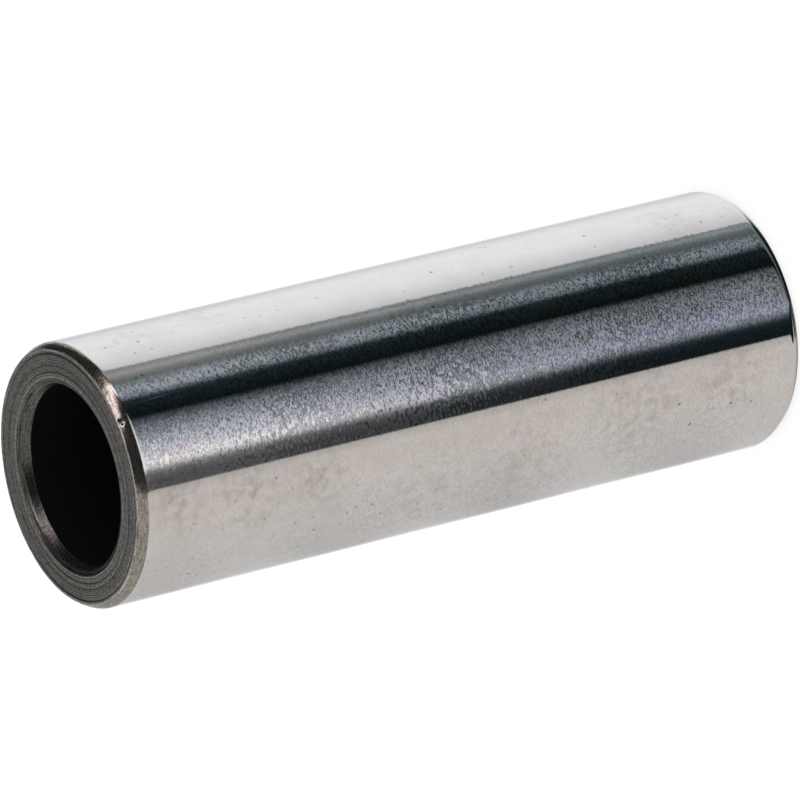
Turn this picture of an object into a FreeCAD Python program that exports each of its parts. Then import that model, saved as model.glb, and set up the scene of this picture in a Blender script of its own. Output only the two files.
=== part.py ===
"""Gudgeon pin: the hollow ground-steel pin that joins a piston to its connecting rod.

One piece. It is modelled about its mid-length plane and stands on one end, on z = 0.
"""
import FreeCAD, Part

import math
import os

import Sketcher

# Driving dimensions in millimetres, each with the note that goes beside it in the sheet.
SIZES = {
    "pin_diameter": (22.0, "ground outside"),
    "pin_length": (64.4, "over both end faces"),
    "bore_diameter": (15.0, "through bore"),
    "chamfer_width": (0.45, "outer chamfer, measured across the end face"),
    "chamfer_depth": (0.70, "outer chamfer, measured along the pin"),
    "edge_round": (0.12, "round where the chamfer meets the ground outside"),
    "entry_width": (0.17, "bore's entry chamfer, measured across the end face"),
    "entry_depth": (0.14, "bore's entry chamfer, measured along the pin"),
    "ledge_width": (0.21, "ledge that the tool left below the entry chamfer, across"),
    "ledge_drop": (0.03, "how far the ledge falls towards the bore"),
    "second_width": (0.12, "second chamfer below the ledge, across"),
    "second_depth": (0.13, "second chamfer below the ledge, along the pin"),
    "taper_width": (0.13, "how much wider than the bore the machined mouth is at its outer end"),
    "taper_length": (0.70, "machined mouth, from the second chamfer to where it runs out"),
    "outer_ring_inset": (0.35, "from the outer chamfer to the ring turned beside it"),
    "outer_ring_width": (0.18, "that ring, across"),
    "outer_ring_depth": (0.06, "that ring, into the face"),
    "inner_ring_inset": (0.56, "from the bore's mouth to the ring turned beside it"),
    "inner_ring_width": (0.24, "that ring, across"),
    "inner_ring_depth": (0.04, "that ring, into the face"),
    "middle_ring_inset": (0.51, "from the inner ring to the faint ring outside it"),
    "middle_ring_width": (0.20, "the faint ring, across"),
    "middle_ring_depth": (0.02, "the faint ring, into the face"),
}

# Radii and heights that several outlines share, in terms of the driving dimensions.
OUTSIDE = "sizes.pin_diameter / 2"
BORE_WALL = "sizes.bore_diameter / 2"
END = "sizes.pin_length / 2"
CHAMFER_EDGE = f"{OUTSIDE} - sizes.chamfer_width"
TAPER_EDGE = f"{BORE_WALL} + sizes.taper_width"
LEDGE_INNER_EDGE = f"{TAPER_EDGE} + sizes.second_width"
LEDGE_OUTER_EDGE = f"{LEDGE_INNER_EDGE} + sizes.ledge_width"
MOUTH_EDGE = f"{LEDGE_OUTER_EDGE} + sizes.entry_width"


def add_sheet(doc):
    """Put the driving dimensions into a spreadsheet, one row each."""
    sheet = doc.addObject("Spreadsheet::Sheet", "sizes")
    for row, (name, (value, note)) in enumerate(SIZES.items(), start=1):
        sheet.set(f"A{row}", name)
        sheet.set(f"B{row}", str(value))
        sheet.set(f"C{row}", note)
        sheet.setAlias(f"B{row}", name)
    doc.recompute()
    return sheet


def origin_feature(body, role):
    """Find one of the body's own origin planes or axes."""
    for feature in body.Origin.OriginFeatures:
        if feature.Role == role:
            return feature
    raise ValueError(f"{body.Label} has no {role}")


def new_section(body, name):
    """Start a sketch in the plane of the pin's axis: radius to the right, height upwards."""
    sketch = body.newObject("Sketcher::SketchObject", name)
    sketch.AttachmentSupport = [(origin_feature(body, "XZ_Plane"), "")]
    sketch.MapMode = "FlatFace"
    return sketch


def add_section(body, name, outlines):
    """Draw closed outlines with straight sides.

    Each corner is a pair of expressions, radius then height. The lines start as a rough
    fan of points and the constraints carry every corner to its own radius and height.
    """
    sketch = new_section(body, name)
    for corners in outlines:
        rough = [FreeCAD.Vector(1 + place, 1 + place * place, 0) for place in range(len(corners))]
        first = sketch.GeometryCount
        for place, start in enumerate(rough):
            end = rough[(place + 1) % len(rough)]
            sketch.addGeometry(Part.LineSegment(start, end), False)
        for place, (radius, height) in enumerate(corners):
            line = first + place
            following = first + (place + 1) % len(corners)
            sketch.addConstraint(Sketcher.Constraint("Coincident", line, 2, following, 1))
            bind(sketch, ("DistanceX", -1, 1, line, 1), rough[place].x, radius)
            bind(sketch, ("DistanceY", -1, 1, line, 1), rough[place].y, height)
    return sketch


def bind(sketch, measure, value, expression):
    """Add a dimension with its value of now, and let the sheet drive it from then on."""
    number = sketch.addConstraint(Sketcher.Constraint(*measure, value))
    sketch.setExpression(f"Constraints[{number}]", expression)


def revolve(body, kind, name, sketch):
    """Turn a section about the pin's axis, as added or removed metal."""
    feature = body.newObject(kind, name)
    feature.Profile = sketch
    feature.ReferenceAxis = (origin_feature(body, "Z_Axis"), [""])
    feature.Angle = 360.0
    sketch.Visibility = False
    return feature


def ring_corners(middle, width, depth):
    """Corners of one shallow V ring turned into the end face."""
    return [
        (f"{middle} - {width} / 2", END),
        (f"{middle} + {width} / 2", END),
        (middle, f"{END} - {depth}"),
    ]


def mouth_outline():
    """Corners of the machined mouth: entry chamfer, ledge, second chamfer and a slight taper."""
    entry_end = f"{END} - sizes.entry_depth"
    ledge_end = f"{entry_end} - sizes.ledge_drop"
    second_end = f"{ledge_end} - sizes.second_depth"
    taper_end = f"{second_end} - sizes.taper_length"
    return [
        (BORE_WALL, END),
        (MOUTH_EDGE, END),
        (LEDGE_OUTER_EDGE, entry_end),
        (LEDGE_INNER_EDGE, ledge_end),
        (TAPER_EDGE, second_end),
        (BORE_WALL, taper_end),
    ]


def ring_outlines():
    """The three fine rings turned into the end face."""
    outer_middle = f"{CHAMFER_EDGE} - sizes.outer_ring_inset"
    inner_middle = f"{MOUTH_EDGE} + sizes.inner_ring_inset"
    faint_middle = f"{inner_middle} + sizes.middle_ring_inset"
    return [
        ring_corners(outer_middle, "sizes.outer_ring_width", "sizes.outer_ring_depth"),
        ring_corners(inner_middle, "sizes.inner_ring_width", "sizes.inner_ring_depth"),
        ring_corners(faint_middle, "sizes.middle_ring_width", "sizes.middle_ring_depth"),
    ]


def add_chamfer_section(body, name, sheet):
    """Draw the metal that the outer chamfer removes, with the round where it meets the outside.

    The chamfer's slope aims at a construction point, the sharp corner it would make with
    the ground outside. The round is tangent to both of them.
    """
    outside = sheet.pin_diameter / 2
    end = sheet.pin_length / 2
    slope_angle = math.atan2(sheet.chamfer_width, sheet.chamfer_depth)
    slope_start = FreeCAD.Vector(outside - sheet.chamfer_width, end, 0)
    face_end = FreeCAD.Vector(outside, end, 0)
    sharp_corner = FreeCAD.Vector(outside, end - sheet.chamfer_depth, 0)
    round_centre = sharp_corner - FreeCAD.Vector(sheet.edge_round, 0, 0)
    round_circle = Part.Circle(round_centre, FreeCAD.Vector(0, 0, 1), sheet.edge_round)
    round_arc = Part.ArcOfCircle(round_circle, 0.0, slope_angle)

    sketch = new_section(body, name)
    face = sketch.addGeometry(Part.LineSegment(slope_start, face_end), False)
    side = sketch.addGeometry(Part.LineSegment(face_end, sharp_corner), False)
    arc = sketch.addGeometry(round_arc, False)
    slope = sketch.addGeometry(Part.LineSegment(sharp_corner, slope_start), False)
    corner = sketch.addGeometry(Part.Point(sharp_corner), True)

    sketch.addConstraint(Sketcher.Constraint("Coincident", face, 2, side, 1))
    sketch.addConstraint(Sketcher.Constraint("Tangent", side, 2, arc, 1))
    sketch.addConstraint(Sketcher.Constraint("Tangent", arc, 2, slope, 1))
    sketch.addConstraint(Sketcher.Constraint("Coincident", slope, 2, face, 1))
    sketch.addConstraint(Sketcher.Constraint("Horizontal", face))
    sketch.addConstraint(Sketcher.Constraint("Vertical", side))
    sketch.addConstraint(Sketcher.Constraint("PointOnObject", corner, 1, slope))
    sketch.addConstraint(Sketcher.Constraint("PointOnObject", corner, 1, side))
    bind(sketch, ("DistanceX", -1, 1, side, 1), outside, OUTSIDE)
    bind(sketch, ("DistanceY", -1, 1, side, 1), end, END)
    bind(sketch, ("DistanceX", face, 1, face, 2), sheet.chamfer_width, "sizes.chamfer_width")
    bind(sketch, ("DistanceY", corner, 1, side, 1), sheet.chamfer_depth, "sizes.chamfer_depth")
    bind(sketch, ("Radius", arc), sheet.edge_round, "sizes.edge_round")
    return sketch


def cut_end(doc, body, name, sketch):
    """Turn one section away at the upper end, and make sure that metal went."""
    before = body.Shape.Volume
    cut = revolve(body, "PartDesign::Groove", name, sketch)
    doc.recompute()
    removed = before - body.Shape.Volume
    if removed <= 0:
        raise ValueError(f"{name} removed no metal")
    print(f"{name} removes {removed:.3f} mm3")
    return cut


def make_pin(doc, sheet):
    """Build the pin: a tube, the cuts at its upper end, and the same cuts mirrored."""
    body = doc.addObject("PartDesign::Body", "gudgeon_pin")
    body.Label = "gudgeon_pin"

    tube_corners = [
        (BORE_WALL, f"-{END}"),
        (OUTSIDE, f"-{END}"),
        (OUTSIDE, END),
        (BORE_WALL, END),
    ]
    tube_section = add_section(body, "tube_section", [tube_corners])
    tube = revolve(body, "PartDesign::Revolution", "tube", tube_section)
    doc.recompute()

    cuts = [
        cut_end(doc, body, "outer_chamfer", add_chamfer_section(body, "chamfer_section", sheet)),
        cut_end(doc, body, "bore_mouth", add_section(body, "mouth_section", [mouth_outline()])),
        cut_end(doc, body, "face_rings", add_section(body, "rings_section", ring_outlines())),
    ]

    both_ends = body.newObject("PartDesign::Mirrored", "both_ends")
    both_ends.Originals = cuts
    both_ends.MirrorPlane = (origin_feature(body, "XY_Plane"), [""])
    body.Tip = both_ends

    body.setExpression(".Placement.Base.z", "sizes.pin_length / 2")
    doc.recompute()
    print(f"tube alone {tube.Shape.Volume:.1f} mm3, finished pin {body.Shape.Volume:.1f} mm3")
    return body


def check(doc, bodies):
    """Stop before anything is written if a feature failed or a shape isn't sound."""
    for item in doc.Objects:
        if "Invalid" in item.State or "Error" in item.State:
            raise RuntimeError(f"{item.Label} failed: {item.State}")
    for body in bodies:
        if body.Shape.isNull() or not body.Shape.isValid():
            raise RuntimeError(f"{body.Label} has no sound shape")
        if len(body.Shape.Solids) != 1:
            raise RuntimeError(f"{body.Label} is not one solid")


def main():
    doc = FreeCAD.newDocument("gudgeon_pin")
    sheet = add_sheet(doc)
    bodies = [make_pin(doc, sheet)]
    check(doc, bodies)
    os.makedirs("parts", exist_ok=True)
    for body in bodies:
        body.Shape.exportStep(os.path.join("parts", f"{body.Label}.step"))
        box = body.Shape.optimalBoundingBox(False, False)
        print(f"{body.Label}: {box.XLength:.2f} x {box.YLength:.2f} x {box.ZLength:.2f} mm")


main()
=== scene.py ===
# %% [markdown]
# # A ground steel gudgeon pin
# The pin joins a piston to its connecting rod: a short steel tube whose outside is ground and
# lapped until it shines, with turned end faces and a bore that still carries the black scale of
# hardening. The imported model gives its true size, so the first step loads it and reads the box.

# %% Load the frame
import math

import bmesh
import bpy
from mathutils import Matrix, Vector, noise


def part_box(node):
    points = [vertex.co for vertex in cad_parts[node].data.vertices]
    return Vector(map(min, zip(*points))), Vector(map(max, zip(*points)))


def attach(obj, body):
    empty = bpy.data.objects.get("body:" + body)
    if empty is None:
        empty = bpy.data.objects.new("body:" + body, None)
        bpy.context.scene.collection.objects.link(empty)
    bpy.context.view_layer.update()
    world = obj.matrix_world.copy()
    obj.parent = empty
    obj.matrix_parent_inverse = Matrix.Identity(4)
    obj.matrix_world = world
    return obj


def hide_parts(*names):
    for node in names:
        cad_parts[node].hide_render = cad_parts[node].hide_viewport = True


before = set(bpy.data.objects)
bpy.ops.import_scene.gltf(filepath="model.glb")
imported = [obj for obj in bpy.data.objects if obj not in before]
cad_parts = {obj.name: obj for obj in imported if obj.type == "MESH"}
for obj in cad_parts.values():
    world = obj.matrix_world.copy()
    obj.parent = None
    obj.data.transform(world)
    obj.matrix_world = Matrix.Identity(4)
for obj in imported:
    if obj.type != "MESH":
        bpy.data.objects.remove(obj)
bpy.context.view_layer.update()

MM = 0.001
low_corner, high_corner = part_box("gudgeon_pin")
outside_radius = (high_corner[0] - low_corner[0]) / 2 / MM
pin_length = (high_corner[2] - low_corner[2]) / MM
print(f"pin: {outside_radius * 2:.2f} mm across, {pin_length:.2f} mm long")

# %% [markdown]
# ## The camera
# A very long lens far away keeps the two long sides almost parallel. The pin stands on its end
# here, and the view has it lying on its side, so the camera is rolled about its own line of
# sight. Its place is counted from the centre of the upper end face in pin diameters.

# %% Place the camera
LENS = 425.9
SENSOR = 36.0
CAMERA_ELEVATION = math.radians(30.62)
CAMERA_ROLL = math.radians(-103.6)
FACE_RIGHT = -1.2105
FACE_UP = -0.2823
FACE_AWAY = 34.55

level_up = Vector((0, math.sin(CAMERA_ELEVATION), math.cos(CAMERA_ELEVATION)))
camera_back = Vector((0, -math.cos(CAMERA_ELEVATION), math.sin(CAMERA_ELEVATION)))
camera_right = math.cos(CAMERA_ROLL) * Vector((1, 0, 0)) + math.sin(CAMERA_ROLL) * level_up
camera_up = camera_back.cross(camera_right)
diameter = 2 * outside_radius * MM
face_centre = Vector((0, 0, pin_length * MM))
camera_place = face_centre + diameter * (
    -FACE_RIGHT * camera_right - FACE_UP * camera_up + FACE_AWAY * camera_back
)

camera_data = bpy.data.cameras.new("camera")
camera_data.lens = LENS
camera_data.sensor_width = SENSOR
camera = bpy.data.objects.new("camera", camera_data)
axes = Matrix((camera_right, camera_up, camera_back)).transposed().to_4x4()
camera.matrix_world = Matrix.Translation(camera_place) @ axes
bpy.context.collection.objects.link(camera)
bpy.context.scene.camera = camera
print(f"camera {camera_place.length:.3f} m from the origin")

# %% [markdown]
# ## Small helpers for materials
# Colours are written as the hex values that a painter would pick, and one function turns them
# into the linear values that the renderer adds and multiplies. One more adds a node with its
# settings and its links, so a material reads as a short list of steps.

# %% Helpers for colours and nodes
def linear(hex_colour):
    """Turn an sRGB hex value into linear red, green, blue and alpha."""
    channels = [int(hex_colour[start:start + 2], 16) / 255 for start in (0, 2, 4)]
    toned = [c / 12.92 if c <= 0.04045 else ((c + 0.055) / 1.055) ** 2.4 for c in channels]
    return (*toned, 1.0)


def add(tree, kind, inputs=None, **settings):
    """Add a node, set its properties, and fill its inputs with values or links."""
    made = tree.nodes.new(kind)
    for name, value in settings.items():
        setattr(made, name, value)
    for key, value in (inputs or {}).items():
        if isinstance(value, bpy.types.NodeSocket):
            tree.links.new(value, made.inputs[key])
        else:
            made.inputs[key].default_value = value
    return made


def fill_ramp(ramp_node, stops):
    """Give a ramp its stops: pairs of a place from 0 to 1 and a hex colour or a plain share."""
    elements = ramp_node.color_ramp.elements
    while len(elements) > 1:
        elements.remove(elements[-1])
    elements[0].position = stops[0][0]
    for number, (place, value) in enumerate(stops):
        element = elements[0] if number == 0 else elements.new(place)
        element.color = linear(value) if isinstance(value, str) else (value, value, value, 1.0)


# %% [markdown]
# ## The pin's section
# A turned part is one outline spun about its axis. The corners below are radius and depth below
# the end face in millimetres, from the bore over the end face to the ground outside. The mouth
# has a taper that runs out into the bore, a second chamfer, a ledge where the tool paused and an
# entry chamfer. The end face carries three shallow rings from the lathe.

# %% Corners of one end
BORE_RADIUS = 7.5
MOUTH_DEPTH = 1.0
MOUTH_RADIUS = 8.13
TAPER_TOP = (7.63, 0.30)
RIDGES = 5
RIDGE_DEPTH = 0.05
CHAMFER_WIDTH = 0.45
CHAMFER_DEPTH = 0.76

# each ridge of the taper rises slowly, as the tool was fed in, and drops back at once
RIDGE_STEPS = [(0.0, 0.0), (0.7, RIDGE_DEPTH)]
mouth_corners = []
for ridge in range(RIDGES):
    for part, sink in RIDGE_STEPS:
        share = (ridge + part) / RIDGES
        depth = MOUTH_DEPTH + share * (TAPER_TOP[1] - MOUTH_DEPTH)
        radius = BORE_RADIUS + share * (TAPER_TOP[0] - BORE_RADIUS) + sink
        mouth_corners.append((radius, depth))

bore_corners = [(BORE_RADIUS, pin_length / 2), (BORE_RADIUS, 5.0), (BORE_RADIUS, 2.0)]
ledge_corners = [TAPER_TOP, (7.75, 0.17), (7.96, 0.14), (MOUTH_RADIUS, 0.0)]
ring_corners = [
    (8.57, 0.0), (8.69, 0.04), (8.81, 0.0),
    (9.10, 0.0), (9.20, 0.02), (9.30, 0.0), (9.44, 0.01), (9.58, 0.0),
    (10.05, 0.0), (10.17, 0.06), (10.29, 0.0),
]
# how far inside the ground outside, depth below the end face: the chamfer is slightly convex
chamfer_steps = [
    (CHAMFER_WIDTH, 0.0), (0.37, 0.12), (0.29, 0.235), (0.21, 0.355), (0.14, 0.475),
    (0.0, CHAMFER_DEPTH), (0.0, CHAMFER_DEPTH + 0.25), (0.0, CHAMFER_DEPTH + 0.8),
    (0.0, pin_length / 2),
]
outer_corners = [(outside_radius - inside, depth) for inside, depth in chamfer_steps]
end_corners = bore_corners + mouth_corners + ledge_corners + ring_corners + outer_corners
print(f"{len(end_corners)} corners at each end")

# %% [markdown]
# ## Spin the section
# Spin is the operator for turned parts. It is given half the pin, from the middle of the bore to
# the middle of the outside, because both ends are alike and the other half can be mirrored. A
# full turn is merged where it meets itself, so no seam is left.

# %% Spin the upper half
SEGMENTS = 512
# vertices that are closer than this are one
MERGE = 0.0005 * MM


def spin_half():
    """Spin the upper half of the section once round the Z axis."""
    mesh = bmesh.new()
    outline = [
        mesh.verts.new((radius * MM, 0, (pin_length - depth) * MM)) for radius, depth in end_corners
    ]
    edges = [mesh.edges.new(pair) for pair in zip(outline, outline[1:])]
    bmesh.ops.spin(
        mesh, geom=outline + edges, cent=(0, 0, 0), axis=(0, 0, 1), dvec=(0, 0, 0),
        angle=2 * math.pi, steps=SEGMENTS, use_merge=True, use_duplicate=False,
    )
    bmesh.ops.remove_doubles(mesh, verts=mesh.verts, dist=MERGE)
    return mesh


pin_mesh = spin_half()
print(f"spun {len(pin_mesh.faces)} faces")

# %% [markdown]
# ## Break the sharp edges
# No real edge is sharp. A small bevel on each ring catches a thin line of light, and that line
# is what makes the chamfer and the lip of the end face read as metal. The outer rim is rounded
# more than the others, because the outside was lapped last and the laps ride over its edge.

# %% Bevel the rings
# radius, depth below the end face, width of the bevel, segments
EDGE_BREAKS = [
    (outside_radius, CHAMFER_DEPTH, 0.17, 5),
    (outside_radius - CHAMFER_WIDTH, 0.0, 0.07, 4),
    (MOUTH_RADIUS, 0.0, 0.05, 3),
    (10.29, 0.0, 0.03, 2),
    (7.96, 0.14, 0.02, 2),
    (7.75, 0.17, 0.02, 2),
]
ON_RING = 0.002


def ring_edges(mesh, radius, depth):
    """Edges that run round the pin at one radius and depth, both in millimetres."""
    def on_ring(vert):
        off_radius = abs(math.hypot(vert.co.x, vert.co.y) / MM - radius)
        off_depth = abs(pin_length - vert.co.z / MM - depth)
        return off_radius < ON_RING and off_depth < ON_RING

    return [edge for edge in mesh.edges if all(on_ring(vert) for vert in edge.verts)]


for radius, depth, width, segments in EDGE_BREAKS:
    bmesh.ops.bevel(
        pin_mesh, geom=ring_edges(pin_mesh, radius, depth), offset=width * MM,
        offset_type="OFFSET", affect="EDGES", segments=segments, profile=0.5, material=-1,
        clamp_overlap=True,
    )
print(f"{len(pin_mesh.faces)} faces after the bevels")

# %% [markdown]
# ## Mirror the other half
# The lower half is the upper one mirrored in the middle of the pin. The two open rims meet there
# and are merged, so the tube is closed. Then the normals are turned to face outwards, and corners
# steeper than the bevels are marked sharp, so that smooth shading doesn't melt the tool ridges.

# %% Mirror and close
SHARP = math.radians(16)
middle = Matrix.Translation((0, 0, pin_length / 2 * MM))
bmesh.ops.mirror(
    pin_mesh, geom=pin_mesh.verts[:] + pin_mesh.edges[:] + pin_mesh.faces[:],
    matrix=middle.inverted(), merge_dist=MERGE, axis="Z",
)
bmesh.ops.remove_doubles(pin_mesh, verts=pin_mesh.verts, dist=MERGE)
bmesh.ops.recalc_face_normals(pin_mesh, faces=pin_mesh.faces)
open_edges = [edge for edge in pin_mesh.edges if not edge.is_manifold]
for edge in pin_mesh.edges:
    edge.smooth = edge.calc_face_angle(0.0) < SHARP
print(f"{len(pin_mesh.faces)} faces, {len(open_edges)} open edges")

# %% [markdown]
# ## Wear the upper end
# The end that the camera sees has been handled. Its edges wander by a few hundredths of a
# millimetre, and a few knocks have left nicks. Each nick pushes the surface in along its own
# normal, deepest in the middle. Nicks are placed by their angle round the end face, counted
# clockwise from the X axis as seen from above, with their radius and depth in millimetres.

# %% Wander and nicks
WORN_DEPTH = 1.2
WORN_INSIDE = 7.55
# the rim between these radii wanders by the full amount, the rest by a share of it
RIM_RADII = (10.3, 10.95)
FACE_SHARE = 0.35
WANDER = 0.016
WANDER_LENGTH = 0.9
FINE_LENGTH = 0.3
# angle, radius, depth below the end face, radius of the nick, how far it sinks
NICKS = [
    (72.5, 10.69, 0.20, 0.30, 0.15),
    (64.0, 10.72, 0.28, 0.16, 0.05),
    (133.0, 10.60, 0.10, 0.22, 0.06),
    (97.0, 8.13, 0.0, 0.24, 0.09),
    (34.0, 9.90, 0.0, 0.16, 0.05),
    (311.0, 8.62, 0.0, 0.14, 0.06),
    (199.0, 8.62, 0.0, 0.14, 0.05),
    (168.0, 9.46, 0.0, 0.12, 0.04),
    (240.0, 10.56, 0.02, 0.14, 0.05),
    (343.0, 10.60, 0.08, 0.26, 0.07),
]


def pin_place(angle, radius, depth):
    """Place on the upper end from an angle in degrees and two lengths in millimetres."""
    turn = math.radians(-angle)
    return Vector((radius * math.cos(turn), radius * math.sin(turn), pin_length - depth)) * MM


pin_mesh.normal_update()
upper_end = [
    vert for vert in pin_mesh.verts
    if vert.co.z > (pin_length - WORN_DEPTH) * MM and vert.co.xy.length > WORN_INSIDE * MM
]
for vert in upper_end:
    on_rim = RIM_RADII[0] < vert.co.xy.length / MM < RIM_RADII[1]
    wander = noise.noise(vert.co / (WANDER_LENGTH * MM))
    wander += 0.5 * noise.noise(vert.co / (FINE_LENGTH * MM))
    sink = abs(wander) * WANDER * (1.0 if on_rim else FACE_SHARE) * MM
    for angle, radius, depth, size, deepest in NICKS:
        off = (vert.co - pin_place(angle, radius, depth)).length / (size * MM)
        if off < 1:
            sink += deepest * MM * (1 - off * off) ** 2
    vert.co -= vert.normal * sink
print(f"{len(NICKS)} nicks on {len(upper_end)} vertices")

# %% [markdown]
# ## Name the zones
# Each face of the mesh belongs to a zone that was made in another way: lapped outside, turned
# end face, ground chamfer, bored mouth and scaled bore. The zone picks the material, so a zone
# ends where the bevel between it and its neighbour does.

# %% Give each face its zone
ZONES = ["outside", "face", "chamfer", "mouth", "bore"]
WALL_MIDDLE = 9.0
# depth at which the lapped outside starts: at the lower end it takes in half of the chamfer
UPPER_LAPPED = CHAMFER_DEPTH + 0.03
LOWER_LAPPED = CHAMFER_DEPTH - 0.40
CHAMFER_START = outside_radius - CHAMFER_WIDTH + 0.03
FACE_START = MOUTH_RADIUS - 0.02
MOUTH_END = MOUTH_DEPTH - 0.01


def zone_of(face):
    """Work out which zone a face belongs to from where its middle lies."""
    centre = face.calc_center_median()
    radius = math.hypot(centre.x, centre.y) / MM
    from_top = pin_length - centre.z / MM
    depth = min(from_top, pin_length - from_top)
    lapped = UPPER_LAPPED if depth == from_top else LOWER_LAPPED
    if radius > WALL_MIDDLE and depth > lapped:
        return "outside"
    if radius > CHAMFER_START:
        return "chamfer"
    if radius > FACE_START:
        return "face"
    return "mouth" if depth < MOUTH_END else "bore"


for face in pin_mesh.faces:
    face.material_index = ZONES.index(zone_of(face))
    face.smooth = True
pin_data = bpy.data.meshes.new("gudgeon_pin_turned")
pin_mesh.to_mesh(pin_data)
pin_mesh.free()
pin = bpy.data.objects.new("gudgeon_pin_turned", pin_data)
bpy.context.collection.objects.link(pin)
print(f"pin has {sum(len(p.vertices) - 2 for p in pin_data.polygons)} triangles")

# %% [markdown]
# ## Lapped outside
# Ground and lapped bearing steel is close to a mirror, with fine marks that run round the pin.
# A mark tips the surface along the pin and never round it, so bands of light keep their straight
# edges while light that changes with height breaks into short fine strokes. The marks are drawn
# about 0.2 mm wide, which is coarser than real lapping marks, because finer ones would not show.
# Every metal starts the same way, so a helper makes the empty material first.

# %% Start a metal
def start_metal(name, roughness):
    """Make an empty node material for a metal and return it with its tree and its shader."""
    material = bpy.data.materials.new(name)
    material.use_nodes = True
    tree = material.node_tree
    tree.nodes.clear()
    shader = add(tree, "ShaderNodeBsdfPrincipled", {"Metallic": 1.0, "Roughness": roughness})
    add(tree, "ShaderNodeOutputMaterial", {"Surface": shader.outputs["BSDF"]})
    return material, tree, shader


finishes = {}
print(f"one finish is to be made for each of {len(ZONES)} zones")

# %% Tip the surface with lapping marks
MARK_WIDTH = 0.21 * MM
MARK_LENGTH = 0.40 * MM
MARK_TILT = 0.036


def lapping_marks(tree, place):
    """Return the surface normal, tipped a little up and down the pin by fine marks."""
    stretched = add(
        tree, "ShaderNodeMapping",
        {"Vector": place, "Scale": (1 / MARK_LENGTH, 1 / MARK_LENGTH, 1 / MARK_WIDTH)},
    )
    marks = add(tree, "ShaderNodeTexNoise", {"Vector": stretched.outputs[0], "Scale": 1.0})
    tilt = add(
        tree, "ShaderNodeMapRange",
        {"Value": marks.outputs["Fac"], "To Min": -MARK_TILT / 2, "To Max": MARK_TILT / 2},
    )
    along_pin = add(tree, "ShaderNodeCombineXYZ", {"Z": tilt.outputs[0]})
    level = add(tree, "ShaderNodeNewGeometry").outputs["Normal"]
    tipped = add(
        tree, "ShaderNodeVectorMath", {0: level, 1: along_pin.outputs[0]}, operation="ADD"
    )
    return add(tree, "ShaderNodeVectorMath", {0: tipped.outputs[0]}, operation="NORMALIZE")


print(f"lapping marks {MARK_LENGTH / MM:.2f} mm long and {MARK_WIDTH / MM:.2f} mm wide")

# %% [markdown]
# A scratch along the pin is a line at one angle that drifts a little as it goes. Its torn metal
# is rougher than the lapped metal round it, so it picks up light from all sides and shows as a
# fine pale line in the dark bands.

# %% Scratch the surface
SCRATCH_WIDTH = 0.07
SCRATCH_ROUGHNESS = 0.3
# degrees round the pin from the camera, first and last millimetre from the end, drift in degrees
SCRATCHES = [
    (-24.4, 0.9, 7.0, -1.4),
    (7.0, 4.0, 9.0, 2.0),
]


def scratched_roughness(tree, place, smooth):
    """Return the roughness: smooth everywhere but on the scratches."""
    toward = add(
        tree, "ShaderNodeVectorMath", {0: place, 1: (-1.0, -1.0, 1.0)}, operation="MULTIPLY"
    )
    leftward, frontward, upward = add(
        tree, "ShaderNodeSeparateXYZ", {0: toward.outputs[0]}
    ).outputs
    angle = add(
        tree, "ShaderNodeMath", {0: leftward, 1: frontward}, operation="ARCTAN2"
    ).outputs[0]
    scratched = 0.0
    for at_angle, first, last, drift in SCRATCHES:
        middle_height = (pin_length - (first + last) / 2) * MM
        slope = math.radians(drift) / ((last - first) * MM)
        level = add(
            tree, "ShaderNodeMath",
            {0: upward, 1: slope, 2: -math.radians(at_angle) - slope * middle_height},
            operation="MULTIPLY_ADD",
        )
        off_line = add(tree, "ShaderNodeMath", {0: angle, 1: level.outputs[0]}, operation="ADD")
        beside = add(tree, "ShaderNodeMath", {0: off_line.outputs[0]}, operation="ABSOLUTE")
        off_middle = add(
            tree, "ShaderNodeMath", {0: upward, 1: middle_height}, operation="SUBTRACT"
        )
        along = add(tree, "ShaderNodeMath", {0: off_middle.outputs[0]}, operation="ABSOLUTE")
        line = add(
            tree, "ShaderNodeMapRange",
            {"Value": beside.outputs[0], "From Min": SCRATCH_WIDTH / outside_radius, "From Max": 0},
        )
        length = add(
            tree, "ShaderNodeMapRange",
            {"Value": along.outputs[0], "From Min": (last - first) / 2 * MM, "From Max": 0},
        )
        one = add(
            tree, "ShaderNodeMath", {0: line.outputs[0], 1: length.outputs[0]},
            operation="MULTIPLY",
        )
        scratched = add(
            tree, "ShaderNodeMath", {0: one.outputs[0], 1: scratched}, operation="MAXIMUM"
        ).outputs[0]
    return add(
        tree, "ShaderNodeMapRange",
        {"Value": scratched, "To Min": smooth, "To Max": SCRATCH_ROUGHNESS},
    )


print(f"{len(SCRATCHES)} scratches")

# %% [markdown]
# Years of oil have left small rusty pits. They are the middles of Voronoi cells, some deep and
# some shallow. A noise bends the cells so that no pit is round, and a slower one gathers them.

# %% Rust pits
PIT_SPACING = 0.95 * MM
PIT_RADIUS = 0.22 * MM
PIT_HEART = 0.2 * PIT_RADIUS
PIT_RAGGED = 0.28 * MM
PIT_CLUSTER = 5.0 * MM
CLUSTER_PULL = 1.8
# a pit starts to show at the first sum of cluster and chance and is darkest at the second
PIT_SHOWS = 1.5
PIT_FULL = 2.1
PIT_DARKEST = 0.75


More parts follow.
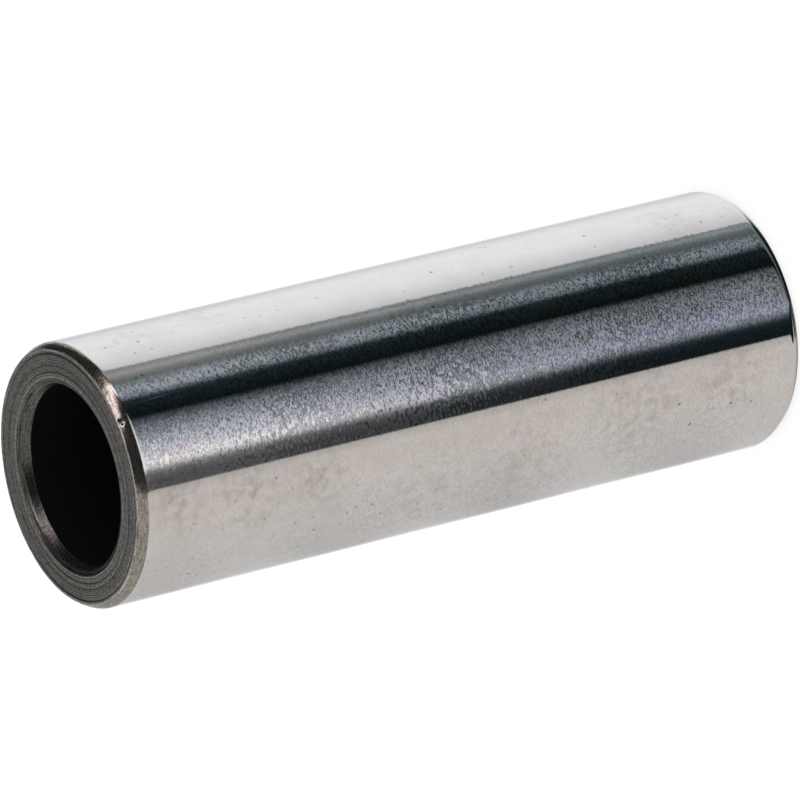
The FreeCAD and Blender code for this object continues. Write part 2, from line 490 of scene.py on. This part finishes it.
def rust_pits(tree, place):
    """Return how rusty the surface is from pits alone, from 0 to 1."""
    ragged = add(tree, "ShaderNodeTexNoise", {"Vector": place, "Scale": 1 / PIT_RAGGED})
    shifted = add(
        tree, "ShaderNodeVectorMath",
        {0: ragged.outputs["Color"], 1: (PIT_RAGGED,) * 3, 2: place}, operation="MULTIPLY_ADD",
    )
    cells = add(
        tree, "ShaderNodeTexVoronoi", {"Vector": shifted.outputs[0], "Scale": 1 / PIT_SPACING}
    )
    pit = add(
        tree, "ShaderNodeMapRange",
        {"Value": cells.outputs["Distance"], "From Min": PIT_RADIUS / PIT_SPACING,
         "From Max": PIT_HEART / PIT_SPACING},
        interpolation_type="SMOOTHSTEP",
    )
    chance = add(tree, "ShaderNodeSeparateColor", {"Color": cells.outputs["Color"]})
    clusters = add(tree, "ShaderNodeTexNoise", {"Vector": place, "Scale": 1 / PIT_CLUSTER})
    likely = add(
        tree, "ShaderNodeMath",
        {0: clusters.outputs["Fac"], 1: CLUSTER_PULL, 2: chance.outputs[0]},
        operation="MULTIPLY_ADD",
    )
    darkness = add(
        tree, "ShaderNodeMapRange",
        {"Value": likely.outputs[0], "From Min": PIT_SHOWS, "From Max": PIT_FULL,
         "To Max": PIT_DARKEST},
    )
    return add(
        tree, "ShaderNodeMath", {0: pit.outputs[0], 1: darkness.outputs[0]}, operation="MULTIPLY"
    ).outputs[0]


print(f"pits {2 * PIT_RADIUS / MM:.2f} mm across, {PIT_SPACING / MM:.2f} mm apart")

# %% [markdown]
# Handling has left brownish patches. A patch is a ball around a place on the surface, and a fine
# noise breaks it into specks. Where two patches or a pit meet, the stronger one shows.

# %% Brownish patches
STAIN_SPECK = 0.9 * MM
SPECK_START = 0.42
SPECK_FULL = 0.72
# degrees round the pin from the camera, millimetres from the upper end, size, how strong it is
STAINS = [
    (22.0, 4.0, 4.5, 0.42),
    (26.0, 10.0, 4.5, 0.44),
    (26.0, 17.0, 4.5, 0.40),
    (50.0, 27.0, 7.0, 0.26),
    (42.0, 37.0, 7.0, 0.26),
    (30.0, 48.0, 6.0, 0.38),
    (28.0, 57.0, 5.0, 0.38),
    (-68.0, 5.0, 4.5, 0.28),
    (-74.0, 13.0, 4.0, 0.24),
    (-56.0, 57.0, 4.0, 0.22),
]


def add_patches(tree, place, rusty):
    """Return the rust with the brownish patches laid over it."""
    specks = add(
        tree, "ShaderNodeTexNoise", {"Vector": place, "Scale": 1 / STAIN_SPECK, "Detail": 5.0}
    )
    speck = add(
        tree, "ShaderNodeMapRange",
        {"Value": specks.outputs["Fac"], "From Min": SPECK_START, "From Max": SPECK_FULL},
    )
    for turned, depth_down, size, strength in STAINS:
        where = Vector((
            -outside_radius * math.sin(math.radians(turned)),
            -outside_radius * math.cos(math.radians(turned)),
            pin_length - depth_down,
        )) * MM
        away = add(tree, "ShaderNodeVectorMath", {0: place, 1: where}, operation="DISTANCE")
        patch = add(
            tree, "ShaderNodeMapRange",
            {"Value": away.outputs["Value"], "From Min": size * MM, "From Max": 0,
             "To Max": strength},
        )
        spotted = add(
            tree, "ShaderNodeMath", {0: patch.outputs[0], 1: speck.outputs[0]},
            operation="MULTIPLY",
        )
        rusty = add(
            tree, "ShaderNodeMath", {0: rusty, 1: spotted.outputs[0]}, operation="MAXIMUM"
        ).outputs[0]
    return rusty


print(f"{len(STAINS)} brownish patches")

# %% [markdown]
# Clean lapped steel is pale, and its grey turns a little from cool to warm in slow clouds. Rust
# is mixed over it in brown.

# %% Lapped bearing steel
LAPPED_ROUGHNESS = 0.035
CLOUD_SIZE = 2.4 * MM
COOL_STEEL = "E7E7EA"
WARM_STEEL = "DCDAD6"
RUST = "5E4630"


def make_lapped_steel():
    """Bearing steel, ground and lapped: pale, mirror bright, with fine marks and tiny pits."""
    material, tree, shader = start_metal("lapped_bearing_steel", LAPPED_ROUGHNESS)
    place = add(tree, "ShaderNodeTexCoord").outputs["Object"]
    roughness = scratched_roughness(tree, place, LAPPED_ROUGHNESS)
    rusty = add_patches(tree, place, rust_pits(tree, place))
    clouds = add(
        tree, "ShaderNodeTexNoise", {"Vector": place, "Scale": 1 / CLOUD_SIZE, "Detail": 5.0}
    )
    clean = add(
        tree, "ShaderNodeMix",
        {"Factor": clouds.outputs["Fac"], "A": linear(COOL_STEEL), "B": linear(WARM_STEEL)},
        data_type="RGBA",
    )
    colour = add(
        tree, "ShaderNodeMix",
        {"Factor": rusty, "A": clean.outputs["Result"], "B": linear(RUST)},
        data_type="RGBA",
    )
    tree.links.new(roughness.outputs[0], shader.inputs["Roughness"])
    tree.links.new(colour.outputs["Result"], shader.inputs["Base Color"])
    tree.links.new(lapping_marks(tree, place).outputs[0], shader.inputs["Normal"])
    return material


finishes["outside"] = make_lapped_steel()
print(f"{finishes['outside'].name}: {len(finishes['outside'].node_tree.nodes)} nodes")

# %% [markdown]
# ## Turned end face
# The end face was faced off on a lathe and never polished, so it is dull and grey. The tool left
# rings: some are real grooves in the mesh, and the colour is darker in them and lighter on the
# rims. The thin pale ring next to the mouth and the pale lip at the outer edge are painted
# highlights. Finer rings come from a noise of the radius alone, which a slow wobble keeps from
# being too even, and a grain of torn metal breaks them up.

# %% Turned steel
RING_START = 8.0
RING_END = 10.6
FACE_ROUGHNESS = 0.34
# the finest cuts of the tool, and how many cuts they wander from their ring
CUT_WIDTH = 0.08 * MM
WOBBLE_LENGTH = 3.0 * MM
WOBBLE_CUTS = 2
# torn metal: its size, its share beside the cuts, and the sums that are darkest and brightest
GRAIN = 0.16
GRAIN_SHARE = 0.6
DARKEST_SUM = 0.58
BRIGHTEST_SUM = 1.02
CUT_CONTRAST = 0.9
CUT_DEPTH = 0.03 * MM
# radius in millimetres, colour there, with painted highlights on the lip and next to the mouth
RING_COLOURS_AND_HIGHLIGHTS = [
    (8.16, "8A8884"),
    # a thin pale ring next to the mouth: a painted highlight
    (8.23, "DAD8D4"),
    (8.30, "A5A39F"),
    (8.42, "A9A7A3"),
    (8.53, "A19F9B"),
    (8.69, "83817D"),
    (8.78, "8A8884"),
    (8.93, "ABA9A5"),
    (9.04, "A5A39F"),
    (9.20, "8A8884"),
    (9.35, "918F8B"),
    (9.62, "999793"),
    (9.95, "A19F9B"),
    (10.08, "93918D"),
    (10.19, "6A6864"),
    (10.26, "8C8A86"),
    # the pale lip at the outer edge: a painted highlight
    (10.33, "C6C4C0"),
    (10.42, "D2D0CB"),
    (10.56, "CCCAC5"),
]


def make_turned_steel():
    """Steel faced off with a lathe tool: dull grey, with fine rings about the pin's axis and
    painted highlights at its edges.
    """
    material, tree, shader = start_metal("turned_steel_face", FACE_ROUGHNESS)
    place = add(tree, "ShaderNodeTexCoord").outputs["Object"]
    flat = add(
        tree, "ShaderNodeVectorMath", {0: place, 1: (1.0, 1.0, 0.0)}, operation="MULTIPLY"
    )
    radius = add(tree, "ShaderNodeVectorMath", {0: flat.outputs[0]}, operation="LENGTH")
    ring_place = add(
        tree, "ShaderNodeMapRange",
        {"Value": radius.outputs["Value"], "From Min": RING_START * MM, "From Max": RING_END * MM},
    )
    rings = add(tree, "ShaderNodeValToRGB", {"Fac": ring_place.outputs[0]})
    span = RING_END - RING_START
    fill_ramp(rings, [((r - RING_START) / span, colour) for r, colour in RING_COLOURS_AND_HIGHLIGHTS])

    wobble = add(tree, "ShaderNodeTexNoise", {"Vector": place, "Scale": 1 / WOBBLE_LENGTH})
    wobbly = add(
        tree, "ShaderNodeMapRange",
        {"Value": wobble.outputs["Fac"], "To Min": -WOBBLE_CUTS, "To Max": WOBBLE_CUTS},
    )
    cut_place = add(
        tree, "ShaderNodeMath",
        {0: radius.outputs["Value"], 1: 1 / CUT_WIDTH, 2: wobbly.outputs[0]},
        operation="MULTIPLY_ADD",
    )
    cuts = add(
        tree, "ShaderNodeTexNoise", {"W": cut_place.outputs[0], "Scale": 1.0, "Detail": 3.0},
        noise_dimensions="1D",
    )
    grain = add(
        tree, "ShaderNodeTexNoise", {"Vector": place, "Scale": 1 / (GRAIN * MM), "Detail": 2.0}
    )
    rough_cut = add(
        tree, "ShaderNodeMath",
        {0: grain.outputs["Fac"], 1: GRAIN_SHARE, 2: cuts.outputs["Fac"]},
        operation="MULTIPLY_ADD",
    )
    worn = add(
        tree, "ShaderNodeMapRange",
        {"Value": rough_cut.outputs[0], "From Min": DARKEST_SUM, "From Max": BRIGHTEST_SUM,
         "To Min": 1 - CUT_CONTRAST, "To Max": 1 + CUT_CONTRAST},
    )
    colour = add(
        tree, "ShaderNodeVectorMath", {0: rings.outputs["Color"], "Scale": worn.outputs[0]},
        operation="SCALE",
    )
    grooved = add(
        tree, "ShaderNodeBump", {"Height": rough_cut.outputs[0], "Distance": CUT_DEPTH}
    )
    tree.links.new(colour.outputs["Vector"], shader.inputs["Base Color"])
    tree.links.new(grooved.outputs[0], shader.inputs["Normal"])
    return material


finishes["face"] = make_turned_steel()
print(f"{finishes['face'].name}: {len(RING_COLOURS_AND_HIGHLIGHTS)} rings")

# %% [markdown]
# ## Ground chamfer and bored mouth
# The chamfer was ground at a slant after the end was faced. The wheel left short scratches round
# the edge, and handling has dulled it to a mottled grey brown. The mouth was bored with a single
# point, whose feed left ridges: they are real in the mesh. Its steel is darker, with long fine
# streaks round the bore. Both finishes are streaks with specks between them, in the colour and in
# a slight relief, so one function makes both from their sizes.

# %% Steel with streaks and specks
STREAK_DARKEST = 0.6
STREAK_BRIGHTEST = 1.4


def make_cut_steel(name, roughness, colour, streak, speck, contrast, relief):
    """Satin steel with streaks round the pin and specks between them.

    A streak is its length and its width, and all sizes are in millimetres. The contrast is how
    far the colour goes down and up, as a share of itself.
    """
    material, tree, shader = start_metal(name, roughness)
    place = add(tree, "ShaderNodeTexCoord").outputs["Object"]
    length, width = streak
    stretched = add(
        tree, "ShaderNodeMapping",
        {"Vector": place, "Scale": (1 / (length * MM), 1 / (length * MM), 1 / (width * MM))},
    )
    streaks = add(
        tree, "ShaderNodeTexNoise", {"Vector": stretched.outputs[0], "Scale": 1, "Detail": 2}
    )
    specks = add(
        tree, "ShaderNodeTexNoise", {"Vector": place, "Scale": 1 / (speck * MM), "Detail": 2}
    )
    torn = add(
        tree, "ShaderNodeMath",
        {0: streaks.outputs["Fac"], 1: specks.outputs["Fac"]}, operation="ADD",
    )
    worn = add(
        tree, "ShaderNodeMapRange",
        {"Value": torn.outputs[0], "From Min": STREAK_DARKEST, "From Max": STREAK_BRIGHTEST,
         "To Min": 1 - contrast, "To Max": 1 + contrast},
    )
    shade = add(
        tree, "ShaderNodeVectorMath", {0: linear(colour)[:3], "Scale": worn.outputs[0]},
        operation="SCALE",
    )
    scored = add(tree, "ShaderNodeBump", {"Height": torn.outputs[0], "Distance": relief * MM})
    tree.links.new(shade.outputs["Vector"], shader.inputs["Base Color"])
    tree.links.new(scored.outputs[0], shader.inputs["Normal"])
    return material


# %% Ground chamfer and bored mouth
# steel ground at a slant: satin, scratched round the edge and mottled
finishes["chamfer"] = make_cut_steel(
    "ground_steel_chamfer", roughness=0.2, colour="A3A097",
    streak=(0.9, 0.09), speck=0.22, contrast=0.6, relief=0.005,
)
# steel bored with a single point: darker, with streaks round the bore and a fine grain
finishes["mouth"] = make_cut_steel(
    "bored_steel_mouth", roughness=0.3, colour="6A6A67",
    streak=(1.4, 0.07), speck=GRAIN, contrast=0.9, relief=0.01,
)
print([finishes[zone].name for zone in ("chamfer", "mouth")])

# %% [markdown]
# ## Scaled bore
# Past the mouth the bore was never machined after hardening. It keeps a black scale that swallows
# light, so it isn't a metal to the eye: it is rough, nearly black, and has almost no shine.

# %% Black scale
SCALE_ROUGHNESS = 0.85
SCALE_SHINE = 0.1
SCALE_CRUST = 0.4 * MM
SCALE_DARK = "050606"
SCALE_PALE = "141617"


def make_scaled_steel():
    """Black scale from hardening: rough, matt and nearly black."""
    material, tree, shader = start_metal("black_hardening_scale", SCALE_ROUGHNESS)
    place = add(tree, "ShaderNodeTexCoord").outputs["Object"]
    crust = add(
        tree, "ShaderNodeTexNoise", {"Vector": place, "Scale": 1 / SCALE_CRUST, "Detail": 3.0}
    )
    colour = add(
        tree, "ShaderNodeMix",
        {"Factor": crust.outputs["Fac"], "A": linear(SCALE_DARK), "B": linear(SCALE_PALE)},
        data_type="RGBA",
    )
    tree.links.new(colour.outputs["Result"], shader.inputs["Base Color"])
    shader.inputs["Metallic"].default_value = 0.0
    shader.inputs["Specular IOR Level"].default_value = SCALE_SHINE
    return material


finishes["bore"] = make_scaled_steel()
print(f"{finishes['bore'].name}: roughness {SCALE_ROUGHNESS}")

# %% [markdown]
# ## Put the finishes on the pin
# A face keeps only the number of its material. The numbers were given in the order of the zones,
# so the materials are appended in that order.

# %% Put the materials on the pin
for zone in ZONES:
    pin_data.materials.append(finishes[zone])
print([material.name for material in pin_data.materials])

# %% [markdown]
# ## The studio
# Polished steel has no colour of its own to show: it shows its surroundings. So the light is a
# white studio with cards standing in it, and the world shader draws them for reflections only,
# while the camera sees the plain white. A card is placed by two angles: how far round the pin it
# stands from the camera, with minus on the right of a camera held level, and how high it is.

# %% Measure directions in the studio
world = bpy.data.worlds.new("white_studio_with_cards")
world.use_nodes = True
studio = world.node_tree
studio.nodes.clear()
direction = add(studio, "ShaderNodeTexCoord").outputs["Generated"]
toward_camera = add(
    studio, "ShaderNodeVectorMath", {0: direction, 1: (-1.0, -1.0, 1.0)}, operation="MULTIPLY"
)
leftward, frontward, upward = add(
    studio, "ShaderNodeSeparateXYZ", {0: toward_camera.outputs[0]}
).outputs
angle = add(
    studio, "ShaderNodeMath", {0: leftward, 1: frontward}, operation="ARCTAN2"
).outputs[0]
height = add(studio, "ShaderNodeMath", {0: upward}, operation="ARCSINE").outputs[0]
turn = add(
    studio, "ShaderNodeMapRange", {"Value": angle, "From Min": -math.pi, "From Max": math.pi}
).outputs[0]
print(f"{world.name}: {len(studio.nodes)} nodes to measure directions")

# %% [markdown]
# On the right stands a white card, on the left a warm pale card, and between them is a dark gap,
# which is lighter where it is seen from the near end. Both side cards share one table, because
# they never stand at the same angle.

# %% Side cards and the gap
# degrees round the pin, colour of the card there
SIDE_CARDS = [
    (-180, "EEEFEF"),
    (-171, "EEEEF0"),
    (-160, "DADCDE"),
    (-155, "DEE0E3"),
    (-148, "EFF0F3"),
    (-136, "FCFDFE"),
    (-112, "FCFCFC"),
    (-100, "EFEFF1"),
    (-92, "E1E1E3"),
    (-84, "D2D4D8"),
    (27, "B8B3AD"),
    (30, "C4BFBA"),
    (36, "D3CCC7"),
    (70, "D6D0CB"),
    (110, "CECAC8"),
    (150, "C8C7C6"),
    (160, "CBCBCA"),
    (169, "E9E9E8"),
    (180, "EEEFEF"),
]
# degrees round the pin, colour seen from the far end, colour seen from the near end
GAP = [
    (-90, "848A8E", "86898C"),
    (-84, "80868A", "949698"),
    (-80.5, "8F9798", "AAA8A6"),
    (-76, "697072", "878886"),
    (-72, "596164", "6E7475"),
    (-68, "667073", "848B8E"),
    (-63, "747E86", "9BA1A6"),
    (-59, "687276", "9AA0A8"),
    (-56, "596164", "7E8890"),
    (-54, "2E363A", "5E696F"),
    (-52, "1C2525", "323D43"),
    (-49.5, "182121", "22292C"),
    (-44, "141C1C", "182022"),
    (-36, "0C1213", "0E1718"),
    (-31.5, "585A5D", "4A5257"),
    (-28, "606468", "6D737A"),
    (-22, "767A82", "8C939C"),
    (-16, "757981", "A8AFB8"),
    (-12, "7E838B", "BABEC8"),
    (-4, "8A90A0", "DAD8DF"),
    (1, "969AA8", "F2EFF3"),
    (5, "8C909C", "FFFAFB"),
    (8, "767C84", "E5E0E2"),
    (10, "58626A", "BDBABB"),
    (12, "303A3E", "949294"),
    (15, "1C2529", "747274"),
    (20, "171E21", "606060"),
    (29, "171D1F", "646262"),
]
print(f"{len(SIDE_CARDS)} stops in the side cards, {len(GAP)} in the gap")

# %% [markdown]
# Above the low cards it is dark, but for the two side cards, which are tall. The glint is a strip
# of light right above the gap: only the rounded rim of the pin leans back enough to catch it. A
# slatted screen hangs in the gap, and its table says how strong the slats are. Each table becomes
# a colour ramp that runs once round the pin.

# %% Upper cards, glint and slats
# degrees round the pin, colour above the low cards
UPPER_CARDS = [
    (-180, "7C7C7C"),
    (-160, "404242"),
    (-150, "282A2A"),
    (26.5, "2C2E2E"),
    (28.5, "CFC8C2"),
    (110, "CDC9C6"),
    (140, "C8C6C4"),
    (160, "9C9C9C"),
    (180, "7C7C7C"),
]
# degrees round the pin, how strong the glint is there
GLINT = [(-40, 0.0), (-26, 0.8), (6, 1.0), (14, 0.0)]
# degrees round the pin, how strong the slats are there
SLATS = [
    (-180, 0.03),
    (-90, 0.03),
    (-86, 0.15),
    (-72, 0.15),
    (-66, 0.78),
    (-57, 0.78),
    (-52, 0.65),
    (-34, 0.65),
    (-30, 0.80),
    (-12, 0.84),
    (-4, 0.62),
    (6, 0.62),
    (12, 0.42),
    (26.6, 0.42),
    (28.6, 0.09),
    (180, 0.09),
]

tables = {
    "far": [(place, far) for place, far, near in GAP],
    "near": [(place, near) for place, far, near in GAP],
    "side": SIDE_CARDS,
    "slats": SLATS,
    "glint": GLINT,
    "upper": UPPER_CARDS,
}
colours = {}
for name, stops in tables.items():
    ramp = add(studio, "ShaderNodeValToRGB", {"Fac": turn})
    fill_ramp(ramp, [(degrees / 360 + 0.5, value) for degrees, value in stops])
    colours[name] = ramp.outputs["Color"]
print(f"{len(colours)} ramps round the pin")

# %% [markdown]
# Not every edge is upright or level. The edge of the white card leans, and so does its top. Low
# down, where only the rounded far rim can see, both side cards draw back from the gap, so the rim
# is dark about as far as the side is. A slanting edge is measured by an angle to which a share of
# another one is added.

# %% Slanting edges
WHITE_EDGE_LEAN = 0.6
TALL_LEAN = 0.33
# below this height both cards draw back, this many degrees for each degree lower
CARDS_FOOT = -33.5
FOOT_SPREAD = 0.8

foot = math.radians(CARDS_FOOT)
above_foot = add(studio, "ShaderNodeMath", {0: height, 1: foot}, operation="MAXIMUM").outputs[0]
below_foot = add(
    studio, "ShaderNodeMath", {0: height, 1: above_foot}, operation="SUBTRACT"
).outputs[0]
slants = {"round": angle, "high": height}
# new slant, what leans it, by how much, the slant that it starts from
for name, cause, lean, start in (
    ("leaning", above_foot, WHITE_EDGE_LEAN, "round"),
    ("white", below_foot, -FOOT_SPREAD, "leaning"),
    ("pale", below_foot, FOOT_SPREAD, "round"),
    ("tall", angle, -TALL_LEAN, "high"),
):
    slants[name] = add(
        studio, "ShaderNodeMath", {0: cause, 1: lean, 2: slants[start]},
        operation="MULTIPLY_ADD",
    ).outputs[0]
print(f"{len(slants)} ways to measure an edge")

# %% [markdown]
# Each card has a share from 0 to 1 that says where it stands. A smooth step from the first angle
# to the second gives the card a soft edge. The two ends of the pin mirror the gap at slightly
# different heights, so a share of the height also tells the near end from the far one.

# %% Where each card stands
FAR_SIGHT = -32.2
NEAR_SIGHT = -28.1
WHITE_EDGE = -86.8
WHITE_EDGE_HEIGHT = -30.6
WHITE_SOFT = 1.8
PALE_EDGE = 27.4
TALL_TOP = 36.0

white_foot = WHITE_EDGE + WHITE_EDGE_HEIGHT * WHITE_EDGE_LEAN
# what it is measured by, degrees where the card starts, degrees where it is full
card_limits = {
    "near": (height, FAR_SIGHT, NEAR_SIGHT),
    "rim": (height, NEAR_SIGHT + 0.8, NEAR_SIGHT + 2.8),
    "rim_top": (height, -7, -13),
    "white": (slants["white"], white_foot + WHITE_SOFT, white_foot - WHITE_SOFT),
    "pale": (slants["pale"], PALE_EDGE - 1, PALE_EDGE + 1),
    "upper": (height, -20, -8),
    "tall": (slants["tall"], TALL_TOP + 5, TALL_TOP - 5),
    "overhead": (height, 50, 68),
    "under": (height, -47, -57),
    "nadir": (height, -74, -79),
    "off_pale": (slants["pale"], PALE_EDGE + 1, PALE_EDGE - 1),
    # this one is a small coordinate, which is nearly the same number as its angle
    "behind": (frontward, 3, -1),
}
shares = {"glint_round": colours["glint"]}
for name, (measure, start, full) in card_limits.items():
    step = {"From Min": math.radians(start), "From Max": math.radians(full)}
    shares[name] = add(
        studio, "ShaderNodeMapRange", {"Value": measure, **step}, interpolation_type="SMOOTHSTEP"
    ).outputs[0]
print(f"{len(card_limits)} soft edges")

# %% [markdown]
# A card that is bounded on several sides is the product of its shares: the glint is a strip of
# some height that also has its own reach round the pin, and the shade low down is only behind.

# %% Cards with several edges
for name, first, second in (
    ("glint_strip", "rim", "rim_top"),
    ("glint", "glint_strip", "glint_round"),
    ("tall_white", "tall", "white"),
    ("nadir_shade", "nadir", "behind"),
    ("off_pale_under", "under", "off_pale"),
    ("under_shade", "off_pale_under", "behind"),
):
    shares[name] = add(
        studio, "ShaderNodeMath", {0: shares[first], 1: shares[second]}, operation="MULTIPLY"
    ).outputs[0]
print(f"{len(shares)} shares")

# %% [markdown]
# The cards are put over each other in turn, the low ones first, and each covers what is below it
# by its share.

# %% Lay the low cards
def lay_cards(below, layers):
    """Put cards over what is below them, each by its share, and return the new colour."""
    for share, colour in layers:
        mixed = {"Factor": share, "A": below, "B": colour}
        below = add(studio, "ShaderNodeMix", mixed, data_type="RGBA").outputs["Result"]
    return below


low_layers = [
    (shares["near"], colours["near"]),
    (shares["white"], colours["side"]),
    (shares["pale"], colours["side"]),
]
low_cards = lay_cards(colours["far"], low_layers)
print(f"{len(low_layers)} low cards over the far gap")

# %% [markdown]
# The slats are too fine to see as stripes, but every mark on the steel catches another slat, and
# that is what makes the dark bands look grainy. Red, green and blue are a little out of step, so
# the grain has a trace of colour. Towards the near end the slats are weaker, because the camera
# sees each mark larger there and the grain would look coarse.

# %% Hang the slats
SLAT_PITCH = 1.1
SLAT_TINT = (-0.09, 0.06, 0.0)
SLAT_FAR = 1.2
SLAT_NEAR = 0.8

slat_turn = add(
    studio, "ShaderNodeVectorMath", {0: height, 1: (360 / SLAT_PITCH,) * 3, 2: SLAT_TINT},
    operation="MULTIPLY_ADD",
)
slat = add(studio, "ShaderNodeVectorMath", {0: slat_turn.outputs[0]}, operation="SINE")
fading = add(
    studio, "ShaderNodeMapRange",
    {"Value": shares["near"], "To Min": SLAT_FAR, "To Max": SLAT_NEAR},
)
faded = add(
    studio, "ShaderNodeVectorMath", {0: slat.outputs[0], "Scale": fading.outputs[0]},
    operation="SCALE",
)
lit = add(
    studio, "ShaderNodeVectorMath",
    {0: faded.outputs[0], 1: colours["slats"], 2: (1.0, 1.0, 1.0)}, operation="MULTIPLY_ADD",
)
slatted = add(
    studio, "ShaderNodeVectorMath", {0: low_cards, 1: lit.outputs[0]}, operation="MULTIPLY"
)
print(f"a slat every {SLAT_PITCH} degrees")

# %% [markdown]
# A leaning row of lamps lights the chamfer and the rim, and the two highest ones light the mouth.
# A lamp is a soft disc round one direction. Where two discs meet, the brighter one counts.

# %% Light the lamps
# degrees round the pin, degrees above the level, radius in degrees
LAMPS = [
    (-62, -10, 6),
    (-63, -2, 6),
    (-64, 6, 7),
    (-64, 14, 7),
    (-62, 21, 8),
    (-58, 28, 8),
    (-54, 35, 8),
    (-49, 41, 8),
    (-47, 51, 7),
    (-58, 62, 10),
]
LAMP_SOFT = 3

lamp = 0.0
for turned, risen, size in LAMPS:
    level = math.cos(math.radians(risen))
    way = (
        -level * math.sin(math.radians(turned)),
        -level * math.cos(math.radians(turned)),
        math.sin(math.radians(risen)),
    )
    facing = add(studio, "ShaderNodeVectorMath", {0: direction, 1: way}, operation="DOT_PRODUCT")
    off = add(studio, "ShaderNodeMath", {0: facing.outputs["Value"]}, operation="ARCCOSINE")
    spot = add(
        studio, "ShaderNodeMapRange",
        {"Value": off.outputs[0], "From Min": math.radians(size + LAMP_SOFT),
         "From Max": math.radians(size - LAMP_SOFT)},
        interpolation_type="SMOOTHSTEP",
    )
    lamp = add(
        studio, "ShaderNodeMath", {0: lamp, 1: spot.outputs[0]}, operation="MAXIMUM"
    ).outputs[0]
print(f"{len(LAMPS)} lamps")

# %% [markdown]
# The high cards go on last. Overhead is a dim light, and low down at the back is shade, which only
# the chamfer of the far end can see. A lamp is brighter than a white card, so it also raises the
# strength of the light.

# %% Lay the high cards
GLINT_LIGHT = "F4F5FA"
OVERHEAD_LIGHT = "9A9A9A"
UNDER_SHADE = "1E2021"
LAMP_COLOUR = "FFEEF2"
LAMP_EXTRA = 1.8

high_layers = [
    (shares["upper"], colours["upper"]),
    (shares["glint"], linear(GLINT_LIGHT)),
    (shares["tall_white"], colours["side"]),
    (shares["overhead"], linear(OVERHEAD_LIGHT)),
    (shares["under_shade"], linear(UNDER_SHADE)),
    (shares["nadir_shade"], linear(UNDER_SHADE)),
    (lamp, linear(LAMP_COLOUR)),
]
all_cards = lay_cards(slatted.outputs["Vector"], high_layers)
strength = add(
    studio, "ShaderNodeMath", {0: lamp, 1: LAMP_EXTRA, 2: 1.0}, operation="MULTIPLY_ADD"
)
print(f"{len(high_layers)} high cards")

# %% [markdown]
# Only a reflection sees the cards. For the camera and for dull surfaces the world is plain white.

# %% Join the two lights
card_light = add(
    studio, "ShaderNodeBackground", {"Color": all_cards, "Strength": strength.outputs[0]}
)
plain_light = add(studio, "ShaderNodeBackground", {"Color": (1, 1, 1, 1), "Strength": 1.0})
path = add(studio, "ShaderNodeLightPath")
light = add(
    studio, "ShaderNodeMixShader",
    {0: path.outputs["Is Glossy Ray"], 1: plain_light.outputs[0], 2: card_light.outputs[0]},
)
add(studio, "ShaderNodeOutputWorld", {"Surface": light.outputs[0]})
bpy.context.scene.world = world
bpy.context.scene.view_settings.view_transform = "Standard"
print(f"{world.name}: {len(studio.nodes)} nodes")

# %% [markdown]
# ## The floor
# A plain white floor carries the pin and keeps a faint shadow where it stands. Part of its white
# is paint, which shows the shadow, and part is a glow, which keeps it as pale as the background.
# It is hidden from reflections, so the polished side shows the studio's cards and not the floor.

# %% Lay the floor
FLOOR_HALF = 0.5
FLOOR_GLOW = 0.75
FLOOR_PAINT = 0.35

floor_mesh = bmesh.new()
bmesh.ops.create_grid(floor_mesh, x_segments=1, y_segments=1, size=FLOOR_HALF)
floor_data = bpy.data.meshes.new("floor")
floor_mesh.to_mesh(floor_data)
floor_mesh.free()
floor = bpy.data.objects.new("floor", floor_data)
bpy.context.collection.objects.link(floor)
floor.visible_glossy = False

floor_material = bpy.data.materials.new("matt_white_floor")
floor_material.use_nodes = True
floor_tree = floor_material.node_tree
floor_tree.nodes.clear()
paint = add(floor_tree, "ShaderNodeBsdfDiffuse", {"Color": (FLOOR_PAINT,) * 3 + (1.0,)})
glow = add(floor_tree, "ShaderNodeEmission", {"Color": (1, 1, 1, 1), "Strength": FLOOR_GLOW})
floor_look = add(floor_tree, "ShaderNodeAddShader", {0: paint.outputs[0], 1: glow.outputs[0]})
add(floor_tree, "ShaderNodeOutputMaterial", {"Surface": floor_look.outputs[0]})
floor_data.materials.append(floor_material)
print(f"floor {2 * FLOOR_HALF:.1f} m wide")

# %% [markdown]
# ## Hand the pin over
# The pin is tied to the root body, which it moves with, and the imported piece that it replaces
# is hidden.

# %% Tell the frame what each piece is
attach(pin, "root")
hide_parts("gudgeon_pin")
print(f"{pin.name} stands for gudgeon_pin")
